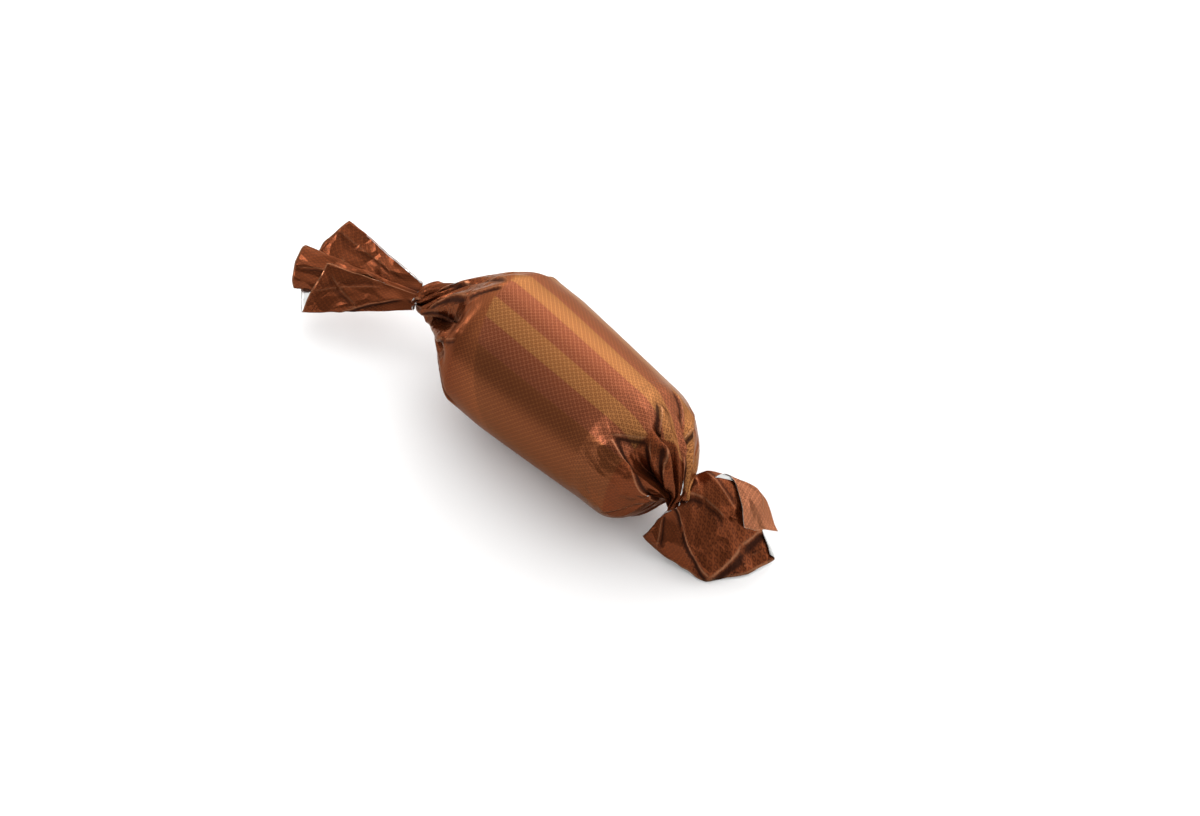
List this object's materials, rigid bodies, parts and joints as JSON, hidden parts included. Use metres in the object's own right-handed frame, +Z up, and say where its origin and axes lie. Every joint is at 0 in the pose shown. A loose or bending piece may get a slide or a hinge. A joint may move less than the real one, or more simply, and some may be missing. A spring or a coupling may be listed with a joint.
{
  "type": "wrapped caramel candy",
  "caption": "Barrel-shaped sweet in a copper-brown striped film wrapper, twisted at both ends, lying on its side.",
  "frame": {"origin": "on the floor plane, at the middle of the flat strip under the barrel that the sweet rests on", "axes": "+X runs along the sweet from the flattened twist to the drooping twist, +Z is up, and +Y points to its far long side"},
  "size_m": [0.0694, 0.0208, 0.0192],
  "materials": {
    "printed_film": "satin metallic copper-brown printed film with lengthwise stripes and a silver inner side"
  },
  "bodies": {
    "root": {"wrapped_caramel": "printed_film"}
  },
  "joints": []
}
